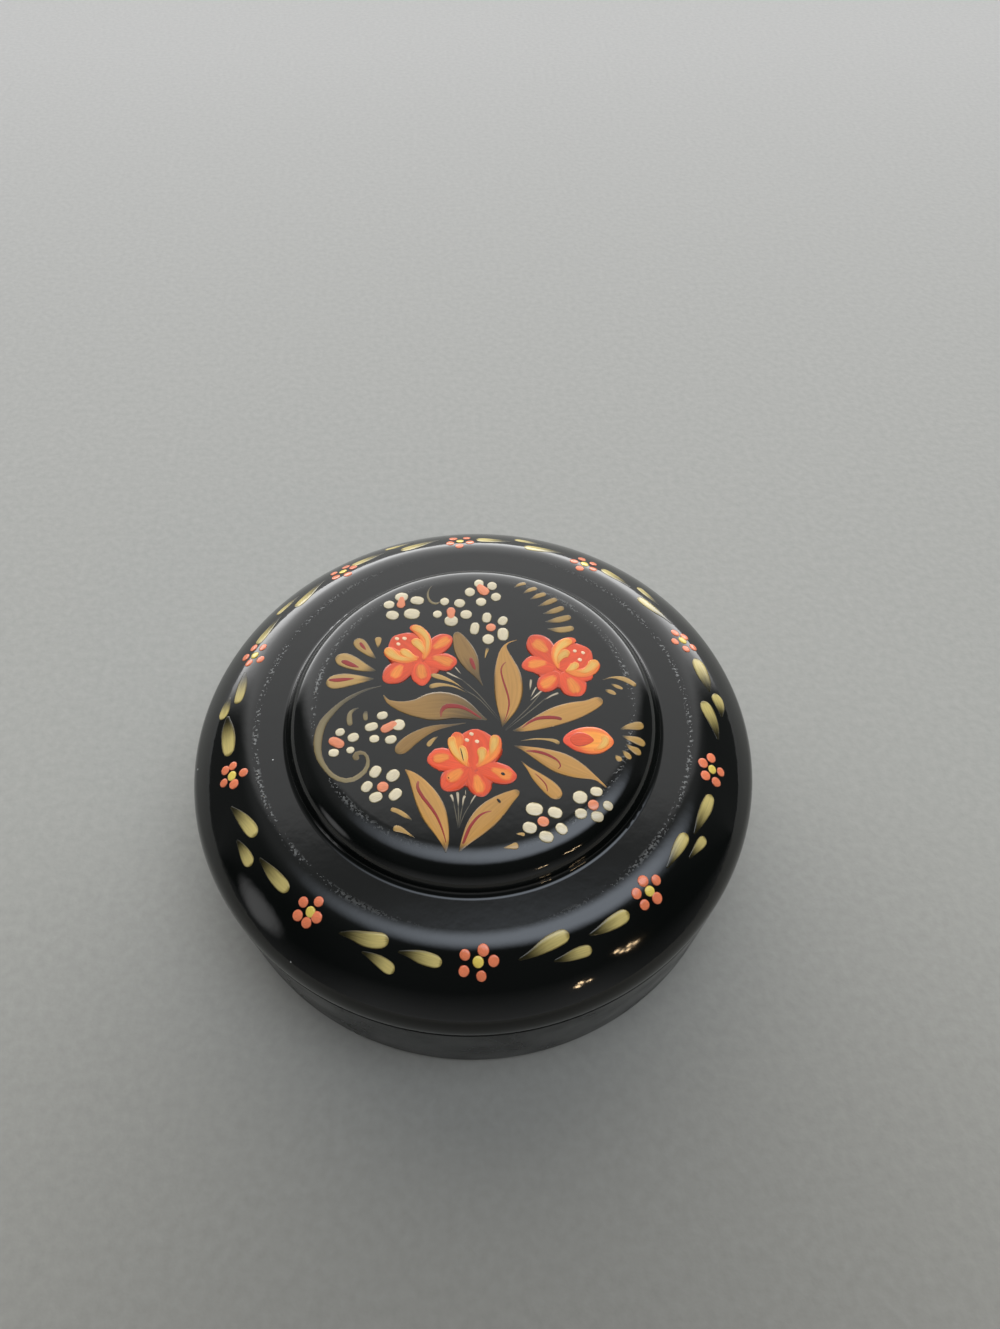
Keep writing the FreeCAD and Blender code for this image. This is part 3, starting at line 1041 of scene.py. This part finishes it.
bud_orange = paint_material("bud_orange", (0.92, 0.34, 0.05), (0.85, 0.17, 0.04), (0.80, 0.085, 0.035),
                            0.3, 0.55, 0.15)
bud = [(563, 741, 7), (570, 740.3, 17), (580, 740.3, 25), (591, 740.7, 28), (602, 741.3, 24.5),
       (610, 741.8, 15), (614, 742, 7)]
bud_heart = [(570, 739, 8), (577, 739.5, 14), (585, 739.5, 13), (594, 740.3, 4)]
bud_light = [(594, 750, 2), (602, 746, 7), (605.5, 740.5, 9), (602, 735.5, 6)]
brushed("bud", [bud], "red_paint", bud_orange, petal_paint, rings=20)
brushed("bud_heart", [bud_heart], "red_paint", petal_coral, touch_paint,
        lift=heart_lift, crown=soft_crown, rings=12)
brushed("bud_light", [bud_light], "ochre_paint", cup_yellow, touch_paint,
        lift=heart_lift, crown=soft_crown, rings=12)


# Small blossoms of the bouquet: round touches of cream paint set down with the butt of the brush, five
# to a blossom, with a salmon dot in the middle. They dry as low domes.
blossom_paint = 0.09 * mm
salmon_paint = 0.07 * mm
salmon_lift = 0.03 * mm
chip_paint = 0.006 * mm
chip_lift = 0.078 * mm
dome_crown = 0.75
petal_cream = paint_material("petal_cream", (0.72, 0.62, 0.42), (0.30, 0.23, 0.08), (0.72, 0.62, 0.42),
                             0.12, 0.02)
centre_salmon = paint_material("centre_salmon", (0.82, 0.27, 0.13), (0.62, 0.17, 0.08), (0.82, 0.27, 0.13),
                               0.12, 0.02)
cream_dots = [
    (389.1, 604.9, 11, 8.4, 0), (401.7, 597.3, 13.3, 9.2, 0), (417.2, 600.6, 13.9, 8.6, -5),
    (392.5, 615.4, 12.9, 9.7, -15), (411.9, 614, 16.3, 11.1, -5),
    (444.6, 601.7, 9.2, 8.6, 0), (459.6, 603.4, 10.8, 9.5, -20), (466.1, 614.6, 12, 9.7, 0),
    (437.4, 614.3, 9.2, 8, 0), (451.2, 621, 14, 11.7, 0),
    (469.9, 592.2, 10.5, 9.7, 0), (478.9, 583.8, 9.8, 8.8, 0), (492, 586.2, 10, 9.2, 0),
    (495.9, 597.1, 10.2, 9.2, -10), (481.1, 602, 10.7, 8.9, 0),
    (486.7, 617.9, 10.5, 9.5, 80), (502.7, 621, 9.8, 9.5, 60), (502.9, 634.4, 13.2, 11.8, 90),
    (488.2, 639.3, 12, 11.2, 0), (474.7, 628.7, 12.4, 9.4, 80),
    (382.3, 715.6, 11.5, 8.3, 15), (371.4, 726.9, 13.8, 8.6, 15), (374.3, 738.9, 10.3, 8.3, 5),
    (390.8, 739.6, 12.2, 8.8, 15), (398.5, 725, 13.5, 12, 20),
    (340.1, 732.3, 10, 8.2, 25), (353.3, 737.5, 12, 9.3, 20), (350.4, 750.2, 8.5, 7, 15),
    (333.7, 752.9, 10.8, 8.4, 0),
    (375.3, 771.9, 13.8, 10.6, 55), (392.9, 775.7, 14.6, 12, 45), (366.8, 786.8, 13, 10, 50),
    (395.3, 794.6, 14.8, 10.8, 45), (375.8, 797.3, 14.2, 10.6, 20),
    (534.4, 809.3, 17.8, 13.6, -10), (555.1, 812.7, 15.2, 11.4, -20), (529.8, 827.8, 15, 12.2, -15),
    (546.3, 836.9, 15.2, 11.6, -15), (561.6, 828.9, 13.4, 10.8, -40),
    (580.1, 797.4, 15.2, 13.6, -10), (596.4, 791.7, 13, 9.8, -10), (607.8, 805.7, 11, 9.4, -30),
    (580.9, 813.7, 12.4, 11.2, 0), (597.1, 816.6, 13, 11.2, -10),
]
salmon_dots = [(490.9, 627.7, 10, 8.2, 0), (382.8, 787.1, 11.7, 10.8, 0), (543.3, 821.8, 12, 10.4, -20),
               (593.2, 805.1, 11, 10.8, 0)]
salmon_smears = [
    [(402, 596.5, 6), (401.6, 601, 6.6), (401, 605, 9), (400.7, 608.4, 8)],
    [(450.8, 607.4, 7), (451, 611, 9), (451, 615, 7.5), (451, 619, 6)],
    [(479, 584, 5), (480.8, 588, 8), (484, 591.3, 9.3), (489, 593, 8.5)],
    [(380.5, 730, 7), (385, 729, 8.6), (391, 726, 8), (397, 723, 9)],
    [(328.5, 740.5, 8), (334, 741.5, 9.5), (340, 744.5, 9.5), (344, 746, 8)],
]


def dot_course(across, down, length, width, lean):
    """Stroke for a touch of paint; its lean, in degrees, raises its right end."""
    run = Vector((cos(radians(lean)), -sin(radians(lean)))) * length / 2
    return [(across + run.x * way, down + run.y * way, width) for way in (-1, 0, 1)]


brushed("blossom_dots", [dot_course(*dot) for dot in cream_dots], "cream_paint", petal_cream,
        blossom_paint, crown=dome_crown, rings=8)
brushed("blossom_centres", [dot_course(*dot) for dot in salmon_dots] + salmon_smears,
        "red_paint", centre_salmon, salmon_paint, lift=salmon_lift, crown=dome_crown, rings=10)

# Wear: chips out of the paint down to the black, and a slit in a yellow petal
chips = [
    [(501, 773.2, 1.6), (503, 774, 2.8), (505, 775, 1.6)],
    [(497, 799, 1.4), (499, 801, 2.6), (500.6, 803, 1.2)],
    [(502.8, 815.6, 1), (503.4, 818, 1.2)],
    [(448, 777.4, 0.9), (449.2, 778.6, 1)],
    [(460.5, 748.5, 0.6), (462, 754.5, 1.1), (463.5, 761, 0.6)],
    [(412, 604, 0.9), (413.2, 605, 0.9)],
]
brushed("paint_chips", chips, "black_lacquer", lid_black, chip_paint, lift=chip_lift, rings=8)


# Garland on the shoulder: ten small blossoms, evenly spaced, each of five coral dots round a yellow one,
# with three olive-gold leaves between neighbours, all set down with a round brush under the top coat.
garland_coral = paint_material("garland_coral", (0.88, 0.24, 0.11), (0.66, 0.13, 0.06), (0.88, 0.24, 0.11),
                               0.12, 0.02)
garland_yellow = paint_material("garland_yellow", (0.86, 0.66, 0.13), (0.60, 0.38, 0.06), (0.86, 0.66, 0.13),
                                0.12, 0.02)
garland_leaf = paint_material("garland_leaf", (0.62, 0.50, 0.18), (0.24, 0.18, 0.05), (0.02, 0.017, 0.006),
                              0.16, 0.85, 0.1)
garland_dot = 1.42 * mm
garland_dot_shares = (0.92, 1.08)
garland_petal_count = 5
garland_petal_stray = 0.12
garland_petal_paint = 0.08 * mm
garland_centre_paint = 0.09 * mm
garland_leaf_paint = 0.035 * mm
garland_petal_pixels = [
    (464.9, 954.7), (483.3, 950), (493.7, 960.8), (463.9, 971), (481.4, 976),
    (303.5, 902), (318.8, 901.6), (297.8, 915.3), (316.7, 917.3), (306.5, 922.6),
    (643, 881), (656, 880), (636.5, 893.5), (657, 898), (644.5, 904.7),
    (703, 763), (711, 758), (720.5, 772), (705.5, 775.5), (716, 782),
    (675, 633), (675, 641.5), (684, 637), (686, 649), (693, 647.5),
    (225.5, 770.5), (233, 766), (243.5, 772.5), (224, 783), (234, 784),
    (254, 648), (263, 647.5), (246, 657.5), (249, 663), (260.5, 659.5),
]
garland_centre_pixels = [
    (478.2, 961.8), (649.6, 891), (712, 769.5), (682.5, 640.5), (255, 655.5), (232, 776), (310.6, 911.8),
]
far_blossom_pixels = [(584.5, 564.2), (460, 541.3), (343.1, 571.7)]
far_petals_out = 1.8 * mm


def round_dot(middle):
    """Marks of a round touch of paint at a place on the rolled-out lid."""
    half = garland_dot / 2 * random.uniform(*garland_dot_shares)
    heading = random.uniform(0, pi)
    along = Vector((cos(heading), sin(heading))) * half
    return [Vector((end.x, end.y, half)) for end in [middle - along, middle, middle + along]]


def halfway(one, other):
    """Place on the rolled-out lid between two pixels."""
    return (on_lid(*one) + on_lid(*other)) / 2


garland_petals = [round_dot(on_lid(*pixel)) for pixel in garland_petal_pixels]
garland_centres = [round_dot(on_lid(*pixel)) for pixel in garland_centre_pixels]
for pixel in far_blossom_pixels:
    middle = on_lid(*pixel)
    outward = middle.normalized()
    garland_centres.append(round_dot(middle))
    for number in range(garland_petal_count):
        stray = random.uniform(-garland_petal_stray, garland_petal_stray)
        heading = full_turn * (number + 0.5) / garland_petal_count + stray
        spoke = outward * cos(heading) + Vector((-outward.y, outward.x)) * sin(heading)
        garland_petals.append(round_dot(middle + spoke * far_petals_out))
painted("garland_petals", garland_petals, "red_paint", garland_coral, garland_petal_paint,
        crown=dome_crown, rings=8)
painted("garland_centres", garland_centres, "ochre_paint", garland_yellow, garland_centre_paint,
        crown=dome_crown, rings=8)

garland_leaves = [
    [(339, 933, 2), (352, 935, 10), (366, 939, 16), (379, 940.5, 17), (389, 940, 12)],
    [(361.6, 951.6, 2), (370, 955.5, 7), (380, 961.5, 12), (389, 968, 13), (394, 972, 9)],
    [(398, 951.6, 2), (409, 953.5, 8), (421, 957, 14), (434, 961, 14), (442, 963.5, 9)],
    [(518.6, 959.8, 2), (533, 953, 9), (546, 945, 15), (559, 938, 16), (569, 933.5, 12)],
    [(554, 961, 2), (565, 958, 8), (577, 953.5, 12), (587, 950.5, 12), (592, 949.5, 9)],
    [(589, 935, 2), (600, 930, 9), (611, 923.5, 14), (622, 917, 15), (629, 913, 11)],
    [(666.5, 868, 2), (672, 858.5, 7), (678, 848, 12), (683, 839.5, 12.5), (686.5, 833.5, 9)],
    [(689, 857.8, 2), (695, 850.5, 6.5), (701, 843, 10), (705, 837.5, 8)],
    [(694, 834, 2), (700, 821, 9), (706, 808, 12.5), (709.5, 799, 10), (710.5, 794.5, 7)],
    [(231, 806.7, 2), (237, 813, 8), (244, 820.5, 13), (251, 829, 14.5), (256, 836, 11)],
    [(237, 840, 2), (241, 846.5, 7), (245, 854, 11), (249, 861.5, 12), (251, 866, 9)],
    [(259.6, 857.8, 2), (266, 866, 8), (273.5, 875, 13), (282, 884.5, 14), (288.5, 891, 10)],
    [(245.5, 672, 1.5), (243, 683, 7), (240, 695, 8), (237, 704, 6)],
    [(230.5, 697, 1.5), (227, 705, 6), (224, 714, 7.5), (222, 720, 5)],
    [(228, 716, 2), (227.5, 728, 10), (228.5, 740, 13), (229, 750, 11), (229.3, 756, 7)],
    [(709.5, 692, 1.5), (705, 680, 9), (699.5, 667, 10), (695.5, 658.5, 6)],
    [(721.5, 717, 1.5), (719.5, 706, 8), (716.5, 698, 9), (714.5, 693.5, 6)],
    [(718, 740, 1.5), (714, 725, 8), (708, 711, 10.5), (703, 701, 8)],
]
leaf_marks = [stroke_marks(course) for course in garland_leaves]

# Behind the raised centre the shoulder is seen too flat to trace, so the leaves there are those between
# the front blossom and the next one to its right, turned about Z and moved out to the garland
near_gap = halfway(*garland_centre_pixels[:2])
near_leaves = leaf_marks[3:6]
far_row = [garland_centre_pixels[3], *far_blossom_pixels, garland_centre_pixels[4]]
for one, other in zip(far_row, far_row[1:]):
    gap = halfway(one, other)
    turn = Matrix.Rotation(gap.angle_signed(near_gap), 3, "Z")
    reach = gap.length / near_gap.length
    for marks in near_leaves:
        turned = [turn @ mark for mark in marks]
        leaf_marks.append([Vector((mark.x * reach, mark.y * reach, mark.z)) for mark in turned])
painted("garland_leaves", leaf_marks, "ochre_paint", garland_leaf, garland_leaf_paint, rings=16)
